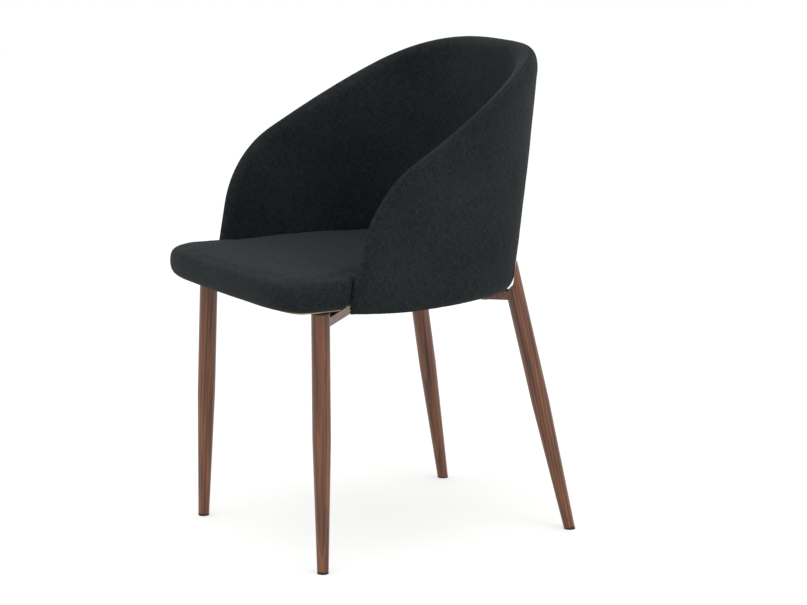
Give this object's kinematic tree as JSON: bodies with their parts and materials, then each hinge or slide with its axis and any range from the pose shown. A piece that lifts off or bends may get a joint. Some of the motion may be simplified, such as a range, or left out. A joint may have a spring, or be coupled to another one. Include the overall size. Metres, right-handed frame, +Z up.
{
  "type": "dining chair",
  "caption": "Upholstered tub dining chair with a wrap-round back that slopes down into low arms, a thick seat pad, tapered splayed legs and a crossed under-frame.",
  "frame": {"origin": "floor point under the middle of the bounding box", "axes": "+Z up, +X to the sitter's left as seen from the front, -Y towards the front edge of the seat"},
  "size_m": [0.4868, 0.5572, 0.79],
  "materials": {
    "walnut_film": "steel tube wrapped in a satin walnut wood-grain transfer film",
    "black_plastic": "moulded black polypropylene, fine matt",
    "zinc_steel": "bright zinc-plated steel",
    "plywood": "raw moulded plywood",
    "charcoal_fabric": "fine plain-woven charcoal upholstery cloth over foam",
    "lining_cloth": "black non-woven lining"
  },
  "bodies": {
    "root": {"leg_front_left": "walnut_film", "leg_front_right": "walnut_film", "leg_rear_left": "walnut_film", "leg_rear_right": "walnut_film", "glide_front_left": "black_plastic", "glide_front_right": "black_plastic", "glide_rear_left": "black_plastic", "glide_rear_right": "black_plastic", "leg_cap_left": "black_plastic", "leg_cap_right": "black_plastic", "leg_plate_left": "walnut_film", "leg_plate_right": "walnut_film", "stub_front_left": "walnut_film", "stub_front_right": "walnut_film", "stub_rear_left": "walnut_film", "stub_rear_right": "walnut_film", "rail_long": "walnut_film", "rail_short_front": "walnut_film", "rail_short_rear": "walnut_film", "centre_plate": "walnut_film", "rail_spigots": "zinc_steel", "spigot_screws": "zinc_steel", "seat_spacers": "zinc_steel", "seat_bolts": "zinc_steel", "seat_washers": "zinc_steel", "tee_nuts": "zinc_steel", "bracket_bolts": "zinc_steel", "shell_bracket_left": "zinc_steel", "shell_bracket_right": "zinc_steel", "shell_bracket_rear_left": "zinc_steel", "shell_bracket_rear_right": "zinc_steel", "shell_screws": "zinc_steel", "seat_board": "plywood", "seat_cushion": "charcoal_fabric", "dust_cloth": "lining_cloth", "cloth_staples": "zinc_steel", "shell_core": "plywood", "shell_inner_pad": "charcoal_fabric", "shell_outer_pad": "charcoal_fabric"}
  },
  "joints": []
}
